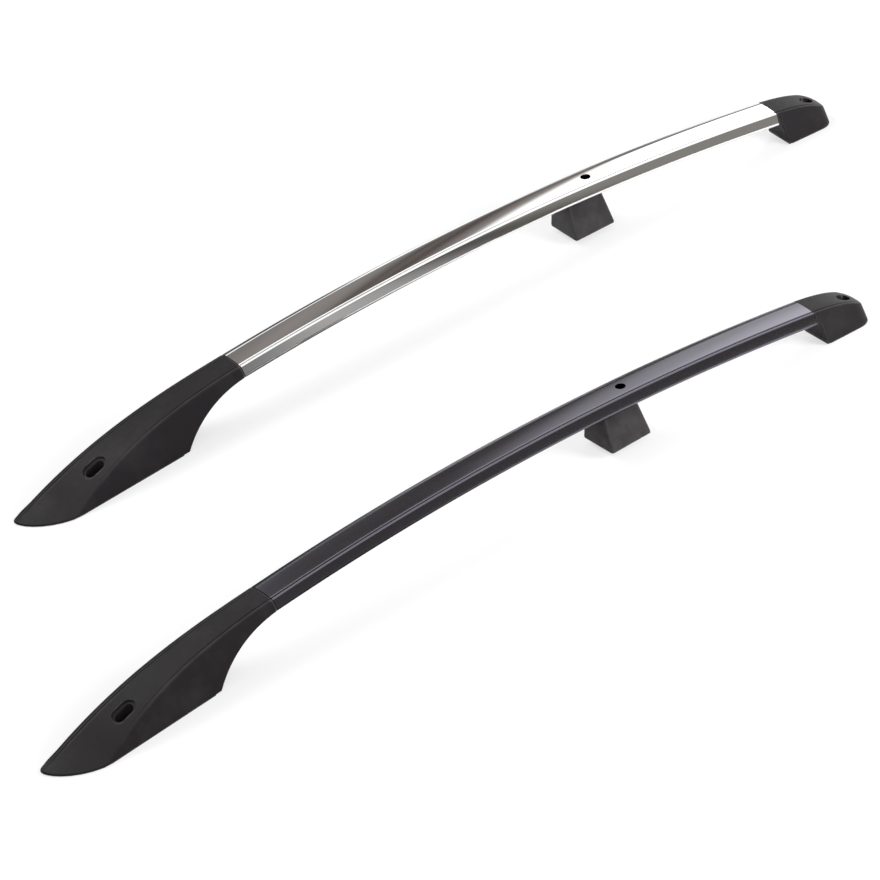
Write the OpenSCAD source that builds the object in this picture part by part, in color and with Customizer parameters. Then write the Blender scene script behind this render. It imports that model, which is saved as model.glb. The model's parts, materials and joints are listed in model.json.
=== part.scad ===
// A pair of roof side rails for a car: a silver one and a black one, both of the same hand.
// Each rail is a hollow arched extrusion on three hollow moulded feet. A long pointed foot
// closes the front, a short one closes the rear, and a middle foot holds the rail up between.
// Millimetres. X runs from the front tip to the rear end, Y to the far side, Z up.
// The origin is the bolt hole of the black front plate, at the level of its soles.

/* [Rail] */
// Length of one rail from tip to rear end
rail_length = 1500; // [1300:10:1800]
// Radius of the arch, along the crease on the near side
arch_r = 4530; // [3800:10:8000]
// Height of that crease above the soles at the top of the arch
crease_z = 101; // [90:1:130]
// Distance of the top of the arch behind the middle of the rail
apex_x = 20; // [-40:1:60]
// Lean of the arch toward the far side, degrees
lean = 11; // [0:0.5:15]
// Width of the top face between its two creases
top_w = 44; // [36:0.5:60]
// Rise of the far crease over the near one
top_rise = 1.5; // [0:0.1:3]
// Extra height in the middle of the top face
crown = 0.8; // [0:0.1:2]
// Width of the rounded far shoulder
shoulder_w = 10.5; // [6:0.5:16]
// Height of the rounded far shoulder
shoulder_h = 8; // [5:0.5:10]
// How far the near side leans out below the crease
side_flare = 6; // [2:0.5:10]
// How far the far side leans in toward the bottom
side_tuck = 1.5; // [0:0.5:4]
// Depth of the rail below the near crease
rail_h = 19; // [16:0.5:26]
// Radius of the lower edges
edge_r = 3.5; // [1:0.5:5]
// Wall of the extrusion
rail_wall = 2; // [1.5:0.1:3]
// Width of the groove beside the near crease
groove_w = 2; // [1:0.1:3]
// Depth of that groove
groove_d = 0.8; // [0.2:0.1:1.1]

/* [Front foot] */
// Length of the front foot from tip to seam
front_length = 409; // [340:1:480]
// Length of the sole from tip to heel
front_sole = 288; // [240:1:310]
// Distance from the tip where the near crease comes down to the sole
front_cheek = 78; // [50:1:100]
// Place of the tip across the rail
tip_y = 23.6; // [10:0.2:35]
// Thickness left at the tip
tip_t = 4; // [3:0.5:8]
// Outer edge of the sole at the heel, on the near side
heel_y = -19.5; // [-26:0.5:-14]
// Widest point of the sole on the near side
cheek_y = -38.5; // [-46:0.5:-30]
// Radius of the hollow under the heel
heel_arch_r = 189; // [150:1:260]

/* [Rear foot] */
// Length of the rear foot from seam to end
rear_length = 89; // [80:1:120]
// How far the sole starts behind the seam
rear_toe = 12; // [8:0.5:18]
// Near edge of the rear sole
rear_near_y = -23; // [-30:0.5:-16]
// How far the crease falls over the rear foot, besides the slope of the arch
rear_fall = 14; // [8:0.5:22]
// Radius that rounds the end face
rear_round = 20; // [8:0.5:26]

/* [Middle foot] */
// Place of the middle foot, from the middle of the rail
middle_x = 305.5; // [240:0.5:360]
// Length of its sole
middle_l = 75; // [60:1:100]
// Width of its sole
middle_w = 73; // [50:1:80]
// Near edge of its sole
middle_near_y = -4; // [-10:0.5:4]
// Height of its sole above the other two, as the roof is higher there
middle_z = 10; // [4:0.5:20]
// Lean of its near face, degrees
near_draft = 16; // [6:0.5:18]
// Lean of its far face, degrees
far_draft = 10; // [4:0.5:18]
// Lean of its front and rear faces, degrees
end_draft = 6; // [2:0.5:10]
// Radius of its upright corners
corner_r = 4; // [2:0.5:10]

/* [Fixing] */
// Bolt hole in the plates and in the middle sleeve
bolt_hole = 8.5; // [6.5:0.1:10.5]
// Length of the well in the front foot
well_l = 32; // [26:1:44]
// Width of the well in the front foot
well_w = 16; // [13:0.5:20]
// Step of the recess round each well
recess_step = 4; // [2:0.5:6]
// Access hole in the top of the rail
access_d = 16; // [14:0.5:20]
// Thickness of the steel plates
plate_t = 3; // [2:0.5:5]
// Margin of the plates round the well
plate_margin = 5; // [3:0.5:8]
// Wall of the sleeve in the middle foot
sleeve_wall = 2.5; // [1.5:0.5:4]
// Depth of the spigots in the rail
spigot_l = 55; // [35:1:90]
// Diameter of the screws that hold the spigots
screw_d = 4.8; // [3.5:0.1:6]

/* [Moulding] */
// Wall of the feet
foot_wall = 3; // [2:0.5:4]
// Thickness of the ribs in the front foot
rib_t = 2.5; // [1.5:0.5:4]
// Thickness of the rubber gaskets under the feet
gasket_t = 1.5; // [1:0.1:2]
// How far the gaskets lie inside the edge of the foot
gasket_inset = 0.8; // [0.2:0.1:2]
// Play round parts that slide into others
fit_gap = 0.25; // [0.1:0.05:0.5]

/* [Second rail] */
// Place of the silver rail behind and beside the black one
silver_at = [327.3, 523.3]; // [0:0.1:1000]
// Turn of the silver rail, degrees
silver_turn = -2.81; // [-10:0.1:10]

/* [Hidden] */
$fn = 64;
eps = 0.01;
arc_fn = 720;
front_seam_x = -rail_length / 2 + front_length;
rear_seam_x = rail_length / 2 - rear_length;
tip_x = -rail_length / 2;
rear_x = rail_length / 2;
heel_x = tip_x + front_sole;
front_turn = asin((front_seam_x - apex_x) / arch_r);
rear_turn = asin((rear_seam_x - apex_x) / arch_r);
front_seam = arch_point(front_turn, [0, 0]);
rear_seam = arch_point(rear_turn, [0, 0]);
front_slope = -tan(front_turn);
rear_slope = tan(rear_turn);
far_edge = top_w + shoulder_w;
cheek_run = front_length - front_cheek;
// The slimmer line of the far crease ends this far before the tip
far_stop = 6;
// Where the hollow under the heel meets the underside of the rail
heel_top = arch_point(front_turn, [0, -rail_h]);
heel_axis = circle_centre([heel_x, gasket_t], [heel_top.x, heel_top.z], heel_arch_r);
front_bolt = [tip_x + 138, 1.3];
rear_bolt = [rear_x - 22, 9];
middle_bolt = [middle_x + 14.5, 23];
crease_at_middle = arch_point(asin((middle_bolt.x - apex_x) / arch_r), [0, 0]);
underside_z = crease_at_middle.z - rail_h;
sleeve_r = bolt_hole / 2 + sleeve_wall;
front_plate = [well_l + 2 * plate_margin, well_w + 2 * plate_margin];
rear_plate_r = well_w / 2 + 4;
front_recess_z = 36.5;
rear_recess_z = 29;
// Radius of the edges round the soles
sole_edge_r = 1.2;
// Distance from a seam over which the sections of a foot come upright
upright_run = 40;
// Play of the sleeve in the middle foot and its pads
sleeve_play = 0.05;
// Play of a screw in the spigot that it bites into
thread_play = 0.04;
// Clearance of a screw in the rail
screw_clearance = 0.4;
tube_colour = [0.72, 0.73, 0.74];
black_colour = [0.06, 0.06, 0.065];
foot_colour = [0.09, 0.09, 0.1];
rubber_colour = [0.03, 0.03, 0.03];
steel_colour = [0.55, 0.56, 0.58];

function mix(a, b, t) = a + (b - a) * t;
function clamp(v, low, high) = min(high, max(low, v));

// A point of the section, [across, up] from the near crease, carried round the arch
function arch_point(turn, p) =
    let (
        out = arch_r + p.x * sin(lean) + p.y * cos(lean),
        side = p.x * cos(lean) - p.y * sin(lean),
        rise = out * cos(turn) - arch_r
    )
    [apex_x + out * sin(turn), rise * sin(lean) + side * cos(lean),
     crease_z + rise * cos(lean) - side * sin(lean)];

// Centre below a chord of the circle that passes through both its ends
function circle_centre(a, b, r) =
    let (
        half = (b - a) / 2,
        reach = norm(half),
        down = [half.y, -half.x] / reach
    )
    a + half + down * sqrt(r * r - reach * reach);

// Closed outline from the near lower edge over the top face to the far lower edge
function band_loop(wide, rise, bulge, shoulder, fall, tuck, flare, deep, r, slit) =
    let (far = wide + shoulder - tuck)
    concat(
        [for (a = [0:30:90]) [-flare + r - r * sin(a), -deep + r - r * cos(a)]],
        [[0, 0]],
        [[groove_w / 2, 0], [groove_w * 0.6, -slit]],
        [[groove_w * 1.4, -slit], [groove_w * 1.6, bulge * 0.1]],
        [for (t = [0.2:0.16:1.001]) [wide * t, rise * t + bulge * 4 * t * (1 - t)]],
        [for (a = [20:23:90]) [wide + shoulder * sin(a), rise - fall * (1 - cos(a))]],
        [for (a = [90:-30:0]) [far - r + r * sin(a), -deep + r - r * cos(a)]]
    );

rail_loop = band_loop(
    top_w, top_rise, crown, shoulder_w, shoulder_h, side_tuck, side_flare, rail_h, edge_r, groove_d
);

// The rail's outline at a turn, as a last loop for a foot that is cut off at its seam
function end_loop(turn) = [for (p = rail_loop) arch_point(turn, p)];

// Outline of the hollow in the rail, drawn in by a gap for the spigots
function hollow_loop(gap) =
    let (
        t = rail_wall + gap,
        drop = t + groove_d * 0.6,
        inner = band_loop(
            top_w - 1.2 * t, top_rise, crown, shoulder_w - 0.8 * t, shoulder_h - t / 2,
            side_tuck, side_flare * 0.7, rail_h - drop - t, edge_r / 2, 0
        )
    )
    [for (p = inner) [p.x + t, p.y - drop]];

// Frame at a turn, with X out from the axis of the arch and Y toward the front
module at_turn(turn) {
    translate([apex_x, 0, crease_z])
        rotate([90 - lean, 0, 0])
            translate([0, -arch_r, 0])
                rotate([0, 0, 90 - turn])
                    children();
}

// Block that takes away all beyond a seam, toward the rear or the front
module beyond(turn, toward_rear) {
    reach = 2 * top_w;
    at_turn(turn)
        translate([arch_r - reach, toward_rear ? -reach : 0, -reach])
            cube([2 * reach, reach, 2 * reach]);
}

// Outline carried round the arch from one turn to another
module sweep(loop, from, to) {
    at_turn(to)
        rotate_extrude(angle = to - from, $fn = arc_fn)
            polygon([
                for (p = loop)
                    [arch_r + p.x * sin(lean) + p.y * cos(lean),
                     p.y * sin(lean) - p.x * cos(lean)]
            ]);
}

// Closed skin over loops of equal length
module skin(loops) {
    count = len(loops);
    size = len(loops[0]);
    points = [for (loop = loops) each loop];
    sides = [
        for (i = [0:count - 2], j = [0:size - 1])
            let (
                a = i * size + j,
                b = i * size + (j + 1) % size
            )
            each [[a, b, b + size], [a, b + size, a + size]]
    ];
    first = [for (j = [size - 1:-1:0]) j];
    last = [for (j = [0:size - 1]) (count - 1) * size + j];
    polyhedron(points = points, faces = concat([first], sides, [last]));
}

module stadium(size, high) {
    reach = (size.x - size.y) / 2;
    linear_extrude(high) {
        square([2 * reach, size.y], center = true);
        for (side = [-1, 1])
            translate([side * reach, 0])
                circle(d = size.y);
    }
}

// Front foot: d is the distance ahead of the seam, x the place along the rail

far_run = front_length - far_stop;
near_bottom = arch_point(front_turn, [-side_flare, -rail_h]);
far_seam = arch_point(front_turn, [top_w, top_rise]);
// How far the sole spreads beyond the far shoulder
front_spread = 3;
// Share of the foot, toward its tip, over which the far shoulder narrows
tip_share = 0.06;

function falling(top, slope, d, run, power) =
    max(tip_t, top - slope * d - (top - slope * run - tip_t) * pow(d / run, power));

function near_crease_z(d) = falling(front_seam.z, front_slope, d, cheek_run, 3);

function far_crease_z(d) = falling(far_seam.z, front_slope, d, far_run, 2.8);

function sole_near_y(x) =
    let (
        cheek_x = tip_x + front_cheek,
        t = clamp((cheek_x - x) / front_cheek, 0, 1)
    )
    x > cheek_x
        ? mix(heel_y, cheek_y, (heel_x - x) / (heel_x - cheek_x))
        : tip_y + (cheek_y - tip_y) * pow(1 - pow(t, 1.7), 0.62);

function near_crease_y(d) =
    d < cheek_run
        ? mix(front_seam.y, cheek_y + 1, pow(d / cheek_run, 1.6))
        : sole_near_y(front_seam_x - d) + 1;

function far_crease_y(d) = mix(far_seam.y, tip_y, pow(d / front_length, 2));

function narrowing(d) =
    let (t = clamp((d / front_length - 1 + tip_share) / tip_share, 0, 1))
    sqrt(1 - t * t);

function front_floor(x, t) =
    let (
        r = heel_arch_r + t,
        across = r * r - pow(x - heel_axis.x, 2),
        open_z = t > 0 ? -1 : gasket_t
    )
    x <= heel_x - t || across <= 0 ? open_z : max(open_z, heel_axis.y + sqrt(across));

// Section of the front foot at x, drawn in by a wall t for its hollow
function front_loop(x, t) =
    let (
        d = front_seam_x - x,
        share = clamp((front_floor(x, 0) - gasket_t) / (heel_top.z - gasket_t), 0, 1),
        near = [near_crease_y(d) + t, near_crease_z(d) - t],
        far = [far_crease_y(d) - t / 2, far_crease_z(d) - t],
        low = front_floor(x, t),
        edge = mix(sole_near_y(x), near_bottom.y, share) + t,
        shoulder = (shoulder_w - t / 2) * narrowing(d),
        fall = min(shoulder_h, (far.y - low) / 2),
        tuck = mix(-front_spread * narrowing(d), side_tuck, share),
        deep = near.y - low,
        loop = band_loop(
            far.x - near.x, far.y - near.y, crown, shoulder, fall, tuck, near.x - edge,
            deep, min(mix(sole_edge_r, edge_r, share), deep * 0.3), groove_d * clamp(1 - d / 250, 0.02, 1)
        ),
        turned = sin(front_turn) * clamp(1 - d / upright_run, 0, 1)
    )
    [for (p = loop) [x + turned * (p.x * sin(lean) + p.y * cos(lean)), near.x + p.x, near.y + p.y]];

sole_steps = [
    0.002, 0.01, 0.025, 0.05, 0.085, 0.13, 0.18, 0.235, 0.29, 0.36,
    0.45, 0.55, 0.66, 0.78, 0.89, 0.96, 1
];
heel_steps = [0.015, 0.045, 0.09, 0.15, 0.23, 0.33, 0.46, 0.62, 0.8, 0.93, 0.985];
heel_length = front_length - front_sole;
front_stations = concat(
    [for (s = sole_steps) tip_x + s * front_sole],
    [for (s = heel_steps) heel_x + s * heel_length]
);
hollow_from = tip_x + 0.34 * front_sole;
hollow_to = front_seam_x - 8;

// How far the skin of a foot runs past its seam before it is cut off
seam_spare = 3;

module spigot(turn, inward) {
    root = 6;
    inner = turn + inward * arc_angle(spigot_l);
    outer = turn - inward * arc_angle(root);
    sweep(hollow_loop(fit_gap), min(inner, outer), max(inner, outer));
}

function arc_angle(along) = along / arch_r * 180 / PI;

// Screw through the underside of the rail into a spigot
module at_screw(turn, inward) {
    place = turn + inward * arc_angle(spigot_l * 0.55);
    translate(arch_point(place, [top_w / 2, -rail_h]))
        rotate([0, place, 0])
            children();
}

module screw() {
    head_d = screw_d * 1.9;
    head_h = screw_d * 0.5;
    length = 14;
    translate([0, 0, -head_h])
        cylinder(d = head_d, h = head_h);
    translate([0, 0, -eps])
        cylinder(d = screw_d, h = length);
}

module front_shell() {
    ribs = [0.5, 0.66, 0.82, 0.96];
    difference() {
        skin(concat(
            [for (x = front_stations) front_loop(x, 0)],
            [end_loop(front_turn + arc_angle(seam_spare))]
        ));
        beyond(front_turn, true);
        difference() {
            skin([for (x = front_stations) if (x > hollow_from && x < hollow_to) front_loop(x, foot_wall)]);
            translate([front_bolt.x, front_bolt.y, 0])
                stadium(front_plate + [2, 2] * rib_t, crease_z);
            for (s = ribs)
                translate([tip_x + s * front_sole, 0, crease_z / 2])
                    cube([rib_t, 4 * top_w, crease_z + 4], center = true);
        }
    }
}

module front_foot() {
    difference() {
        union() {
            front_shell();
            spigot(front_turn, 1);
        }
        translate([front_bolt.x, front_bolt.y, 0]) {
            translate([0, 0, -eps])
                stadium(front_plate + [2, 2] * fit_gap / 4, plate_t + eps);
            stadium([well_l, well_w], crease_z);
            translate([0, 0, front_recess_z])
                stadium([well_l, well_w] + [2, 2] * recess_step, crease_z);
        }
        at_screw(front_turn, 1)
            cylinder(d = screw_d + thread_play, h = rail_h);
    }
}

// Rear foot: e is the distance behind the seam

rear_bottom = arch_point(rear_turn, [-side_flare, -rail_h]);
rear_far_seam = arch_point(rear_turn, [top_w, top_rise]);
// How far the near crease swings out and the far one in toward the end
rear_swing = 6;
// How far the far side leans in at the sole
rear_tuck = 8;
// How far the rounded end draws in from each side
rear_draw = 14;
// How far it draws down
rear_drop = 4;
// Straight part of the underside behind the seam
rear_lip = 0.5;
// How sharply the front face turns down after that
rear_turn_down = 2.2;

function rear_keep(e) =
    let (t = clamp((e - rear_length + rear_round) / rear_round, 0, 1))
    1 - sqrt(1 - t * t);

function rear_floor(e) =
    e >= rear_toe
        ? gasket_t
        : mix(rear_bottom.z, gasket_t, pow(max(0, e - rear_lip) / (rear_toe - rear_lip), rear_turn_down));

function rear_edge_y(e) = mix(rear_near_y + 3, rear_near_y - 2, e / rear_length) + rear_keep(e) * rear_draw;

function rear_far_y(e) =
    rear_far_seam.y - rear_swing * e / rear_length + shoulder_w - rear_tuck - rear_keep(e) * rear_draw;

function rear_loop(e, t) =
    let (
        share = (rear_bottom.z - rear_floor(e)) / (rear_bottom.z - gasket_t),
        in_y = rear_keep(e) * rear_draw,
        near = [
            rear_seam.y - rear_swing * pow(e / rear_length, 1.3) + in_y + t,
            rear_seam.z - rear_slope * e - rear_fall * pow(e / rear_length, 3) - rear_keep(e) * rear_drop - t
        ],
        far_y = rear_far_seam.y - rear_swing * e / rear_length - in_y - t / 2,
        low = t > 0 ? -1 : rear_floor(e),
        edge = mix(rear_bottom.y, rear_edge_y(e), share) + t,
        deep = near.y - low,
        loop = band_loop(
            far_y - near.x, top_rise, crown, shoulder_w - t / 2, shoulder_h,
            mix(side_tuck, rear_tuck, share), near.x - edge, deep,
            mix(edge_r, sole_edge_r, share), groove_d * (1 - 0.9 * e / rear_length)
        ),
        turned = sin(rear_turn) * clamp(1 - e / upright_run, 0, 1)
    )
    [for (p = loop)
        [rear_seam_x + e + turned * (p.x * sin(lean) + p.y * cos(lean)), near.x + p.x, near.y + p.y]];

// Sections of the front face, of the body behind it, and of the hollow inside
rear_stations = concat(
    [for (s = [0.06, 0.2, 0.35, 0.5, 0.64, 0.76, 0.87, 1]) s * rear_toe],
    [for (s = [0.08, 0.2, 0.35, 0.5, 0.65, 0.77, 0.85, 0.91, 0.95, 0.977, 0.994])
        mix(rear_toe, rear_length, s)]
);
rear_hollow = [for (s = [0, 0.15, 0.35, 0.55, 0.75, 0.92]) mix(rear_toe + foot_wall, rear_length, s)];

module rear_foot() {
    difference() {
        union() {
            difference() {
                skin(concat(
                    [end_loop(rear_turn - arc_angle(seam_spare))],
                    [for (e = rear_stations) rear_loop(e, 0)]
                ));
                beyond(rear_turn, false);
                difference() {
                    skin([for (e = rear_hollow) rear_loop(e, foot_wall)]);
                    translate([rear_bolt.x, rear_bolt.y, 0])
                        cylinder(r = rear_plate_r + rib_t, h = crease_z);
                }
            }
            spigot(rear_turn, -1);
        }
        translate([rear_bolt.x, rear_bolt.y, 0]) {
            translate([0, 0, -eps])
                cylinder(r = rear_plate_r + fit_gap / 4, h = plate_t + eps);
            cylinder(d = well_w, h = crease_z);
            translate([0, 0, rear_recess_z])
                cylinder(r = well_w / 2 + recess_step * 0.6, h = crease_z);
        }
        at_screw(rear_turn, -1)
            cylinder(d = screw_d + thread_play, h = rail_h);
    }
}

// Middle foot

// Thickness of the rubber pad between it and the rail
pad_t = 1.5;
// Air left between the pad and the rail
pad_air = 0.06;
middle_top = underside_z + 12;

// Rounded rectangle of the middle foot at height z, drawn in by t
function middle_loop(z, t) =
    let (
        up = z - middle_z,
        low_x = middle_x - middle_l / 2 + up * tan(end_draft) + t,
        high_x = middle_x + middle_l / 2 - up * tan(end_draft) - t,
        low_y = middle_near_y + up * tan(near_draft) + t,
        high_y = middle_near_y + middle_w - up * tan(far_draft) - t,
        r = corner_r,
        corners = [
            [high_x - r, high_y - r],
            [high_x - r, low_y + r],
            [low_x + r, low_y + r],
            [low_x + r, high_y - r]
        ]
    )
    [for (i = [0:3], a = [0:18:90])
        [corners[i].x + r * sin(a + 90 * i), corners[i].y + r * cos(a + 90 * i), z]];

module under_rail(near, far, top, bottom, from_x, to_x) {
    sweep(
        [[near, top], [far, top], [far, bottom], [near, bottom]],
        asin((from_x - apex_x) / arch_r), asin((to_x - apex_x) / arch_r)
    );
}

module middle_foot() {
    bottom = middle_z + gasket_t;
    inner_top = underside_z - pad_t - 2 * foot_wall;
    difference() {
        skin([middle_loop(bottom, 0), middle_loop(middle_top, 0)]);
        under_rail(
            -2 * top_w, 3 * top_w, 3 * rail_h, -rail_h - pad_t,
            middle_x - middle_l, middle_x + middle_l
        );
        difference() {
            skin([middle_loop(bottom - 1, foot_wall), middle_loop(inner_top, foot_wall)]);
            translate([middle_bolt.x, middle_bolt.y, 0])
                cylinder(r = sleeve_r + foot_wall, h = crease_z);
        }
        translate([middle_bolt.x, middle_bolt.y, 0])
            cylinder(r = sleeve_r + sleeve_play, h = crease_z);
    }
}

module middle_pad() {
    inset = 8;
    pad_near = 17;
    difference() {
        under_rail(
            pad_near, far_edge - side_tuck - edge_r - 0.5, -rail_h - pad_air, -rail_h - pad_t,
            middle_x - middle_l / 2 + inset, middle_x + middle_l / 2 - inset
        );
        translate([middle_bolt.x, middle_bolt.y, 0])
            cylinder(r = sleeve_r + sleeve_play, h = crease_z);
    }
}

module middle_sleeve() {
    top = underside_z + rail_wall + 0.6;
    translate([middle_bolt.x, middle_bolt.y, middle_z])
        difference() {
            cylinder(r = sleeve_r, h = top - middle_z);
            translate([0, 0, -1])
                cylinder(d = bolt_hole, h = top);
        }
}

module middle_gasket() {
    difference() {
        translate([0, 0, middle_z])
            linear_extrude(gasket_t)
                polygon([for (p = middle_loop(middle_z, gasket_inset)) [p.x, p.y]]);
        translate([middle_bolt.x, middle_bolt.y, 0])
            cylinder(r = sleeve_r + sleeve_play, h = crease_z);
    }
}

module rail() {
    difference() {
        sweep(rail_loop, front_turn, rear_turn);
        sweep(hollow_loop(0), front_turn - 1, rear_turn + 1);
        translate([middle_bolt.x, middle_bolt.y, underside_z + rail_h / 2])
            cylinder(d = access_d, h = rail_h);
        translate([middle_bolt.x, middle_bolt.y, underside_z - 1])
            cylinder(r = sleeve_r + 2 * sleeve_play, h = rail_h / 2);
        at_screw(front_turn, 1)
            translate([0, 0, -1])
                cylinder(d = screw_d + screw_clearance, h = rail_h / 2);
        at_screw(rear_turn, -1)
            translate([0, 0, -1])
                cylinder(d = screw_d + screw_clearance, h = rail_h / 2);
    }
}

module front_plate() {
    translate([front_bolt.x, front_bolt.y, 0])
        difference() {
            stadium(front_plate, plate_t);
            translate([0, 0, -1])
                cylinder(d = bolt_hole, h = plate_t + 2);
        }
}

module rear_plate() {
    translate([rear_bolt.x, rear_bolt.y, 0])
        difference() {
            cylinder(r = rear_plate_r, h = plate_t);
            translate([0, 0, -1])
                cylinder(d = bolt_hole, h = plate_t + 2);
        }
}

module front_gasket() {
    stations = [for (x = front_stations) if (x < heel_x - gasket_inset) x];
    near = [for (x = stations) [x + gasket_inset, sole_near_y(x) + gasket_inset]];
    far = [
        for (i = [len(stations) - 1:-1:0])
            let (
                x = stations[i],
                d = front_seam_x - x
            )
            [x + gasket_inset,
             far_crease_y(d) + (shoulder_w + front_spread) * narrowing(d) - gasket_inset]
    ];
    difference() {
        linear_extrude(gasket_t)
            polygon(concat(near, far));
        translate([front_bolt.x, front_bolt.y, -1])
            stadium(front_plate + [2, 2] * fit_gap / 4, gasket_t + 2);
    }
}

module rear_gasket() {
    inset = gasket_inset + 0.5;
    steps = [for (e = rear_stations) if (e >= rear_toe) e];
    last = len(steps) - 1;
    along = [for (e = steps) rear_seam_x + clamp(e, rear_toe + gasket_inset, steps[last] - gasket_inset)];
    near = [for (i = [0:last]) [along[i], rear_edge_y(steps[i]) + inset]];
    far = [for (i = [last:-1:0]) [along[i], rear_far_y(steps[i]) - inset]];
    difference() {
        linear_extrude(gasket_t)
            polygon(concat(near, far));
        translate([rear_bolt.x, rear_bolt.y, -1])
            cylinder(r = rear_plate_r + fit_gap / 4, h = gasket_t + 2);
    }
}

module black_place() {
    translate([-front_bolt.x, -front_bolt.y, 0])
        children();
}

module silver_place() {
    black_place()
        translate([silver_at.x, silver_at.y, 0])
            rotate([0, 0, silver_turn])
                children();
}

module black_rail() {
    color(black_colour)
        black_place()
            rail();
}

module black_front_foot() {
    color(foot_colour)
        black_place()
            front_foot();
}

module black_rear_foot() {
    color(foot_colour)
        black_place()
            rear_foot();
}

module black_middle_foot() {
    color(foot_colour)
        black_place()
            middle_foot();
}

module black_front_plate() {
    color(steel_colour)
        black_place()
            front_plate();
}

module black_rear_plate() {
    color(steel_colour)
        black_place()
            rear_plate();
}

module black_middle_sleeve() {
    color(steel_colour)
        black_place()
            middle_sleeve();
}

module black_middle_pad() {
    color(rubber_colour)
        black_place()
            middle_pad();
}

module black_front_gasket() {
    color(rubber_colour)
        black_place()
            front_gasket();
}

module black_rear_gasket() {
    color(rubber_colour)
        black_place()
            rear_gasket();
}

module black_middle_gasket() {
    color(rubber_colour)
        black_place()
            middle_gasket();
}

module black_front_screw() {
    color(steel_colour)
        black_place()
            at_screw(front_turn, 1) screw();
}

module black_rear_screw() {
    color(steel_colour)
        black_place()
            at_screw(rear_turn, -1) screw();
}

module silver_rail() {
    color(tube_colour)
        silver_place()
            rail();
}

module silver_front_foot() {
    color(foot_colour)
        silver_place()
            front_foot();
}

module silver_rear_foot() {
    color(foot_colour)
        silver_place()
            rear_foot();
}

module silver_middle_foot() {
    color(foot_colour)
        silver_place()
            middle_foot();
}

module silver_front_plate() {
    color(steel_colour)
        silver_place()
            front_plate();
}

module silver_rear_plate() {
    color(steel_colour)
        silver_place()
            rear_plate();
}

module silver_middle_sleeve() {
    color(steel_colour)
        silver_place()
            middle_sleeve();
}

module silver_middle_pad() {
    color(rubber_colour)
        silver_place()
            middle_pad();
}

module silver_front_gasket() {
    color(rubber_colour)
        silver_place()
            front_gasket();
}

module silver_rear_gasket() {
    color(rubber_colour)
        silver_place()
            rear_gasket();
}

module silver_middle_gasket() {
    color(rubber_colour)
        silver_place()
            middle_gasket();
}

module silver_front_screw() {
    color(steel_colour)
        silver_place()
            at_screw(front_turn, 1) screw();
}

module silver_rear_screw() {
    color(steel_colour)
        silver_place()
            at_screw(rear_turn, -1) screw();
}

black_rail();
black_front_foot();
black_rear_foot();
black_middle_foot();
black_front_plate();
black_rear_plate();
black_middle_sleeve();
black_middle_pad();
black_front_gasket();
black_rear_gasket();
black_middle_gasket();
black_front_screw();
black_rear_screw();
silver_rail();
silver_front_foot();
silver_rear_foot();
silver_middle_foot();
silver_front_plate();
silver_rear_plate();
silver_middle_sleeve();
silver_middle_pad();
silver_front_gasket();
silver_rear_gasket();
silver_middle_gasket();
silver_front_screw();
silver_rear_screw();
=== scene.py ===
import json
import math

import bmesh
import bpy
from mathutils import Matrix, Vector


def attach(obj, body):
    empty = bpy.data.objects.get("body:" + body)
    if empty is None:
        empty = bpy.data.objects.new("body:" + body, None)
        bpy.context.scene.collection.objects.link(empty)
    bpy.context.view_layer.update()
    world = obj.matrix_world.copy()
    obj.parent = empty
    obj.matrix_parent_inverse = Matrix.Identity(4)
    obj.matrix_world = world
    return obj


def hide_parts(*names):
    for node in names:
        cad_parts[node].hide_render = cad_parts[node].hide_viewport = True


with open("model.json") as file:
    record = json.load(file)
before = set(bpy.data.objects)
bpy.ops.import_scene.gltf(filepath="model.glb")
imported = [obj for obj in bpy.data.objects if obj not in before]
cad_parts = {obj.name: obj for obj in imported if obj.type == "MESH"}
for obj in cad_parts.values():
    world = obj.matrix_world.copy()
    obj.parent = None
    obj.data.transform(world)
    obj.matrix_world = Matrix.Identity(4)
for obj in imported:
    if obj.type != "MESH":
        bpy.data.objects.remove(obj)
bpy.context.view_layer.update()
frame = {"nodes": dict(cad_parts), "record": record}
metresPerMm = 0.001
print("frame loaded")


# Materials

colours = {
    "silverTube": (0.80, 0.80, 0.80, 1),
    "blackTube": (0.13, 0.126, 0.146, 1),
    "footPlastic": (0.0135, 0.012, 0.013, 1),
    # Paler shade along creases, partly rubbed wear and partly a painted highlight
    "wornAndHighlitPlastic": (0.12, 0.112, 0.117, 1),
    "gasketRubber": (0.008, 0.008, 0.008, 1),
    "steel": (0.52, 0.53, 0.55, 1),
    "floor": (0.92, 0.92, 0.92, 1),
}

# Rubbed wear and a painted highlight rise along creases between two values of pointiness, and dust between
# two values of noise
wearAndHighlight = {"creaseFrom": 0.515, "creaseTo": 0.57, "dustFrom": 0.5, "dustTo": 0.8, "dustShade": 0.08}

# Nearly all values of a noise texture lie between these two
noiseRange = (0.3, 0.7)

# Depth of the drawn lines on metal and of the grain on plastic, in metres
drawnDepth = 0.00002
grainDepth = 0.0002

plasticSpecular = 0.12


def newGroup(name, outputs):
    group = bpy.data.node_groups.new(name, "ShaderNodeTree")
    for label in outputs:
        group.interface.new_socket(name=label, in_out="OUTPUT", socket_type="NodeSocketFloat")
    return group


def addNode(tree, kind, **values):
    node = tree.nodes.new(kind)
    for key, value in values.items():
        if key in node.inputs:
            node.inputs[key].default_value = value
        else:
            setattr(node, key, value)
    return node


def addMath(tree, operation, *operands):
    node = addNode(tree, "ShaderNodeMath", operation=operation)
    for socket, value in zip(node.inputs, operands):
        if isinstance(value, (int, float)):
            socket.default_value = value
        else:
            tree.links.new(value, socket)
    return node.outputs[0]


def addMapRange(tree, source, fromLow, fromHigh, toLow, toHigh):
    node = addNode(tree, "ShaderNodeMapRange")
    limits = {"From Min": fromLow, "From Max": fromHigh, "To Min": toLow, "To Max": toHigh}
    for label, value in limits.items():
        node.inputs[label].default_value = value
    tree.links.new(source, node.inputs["Value"])
    return node.outputs["Result"]


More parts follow.
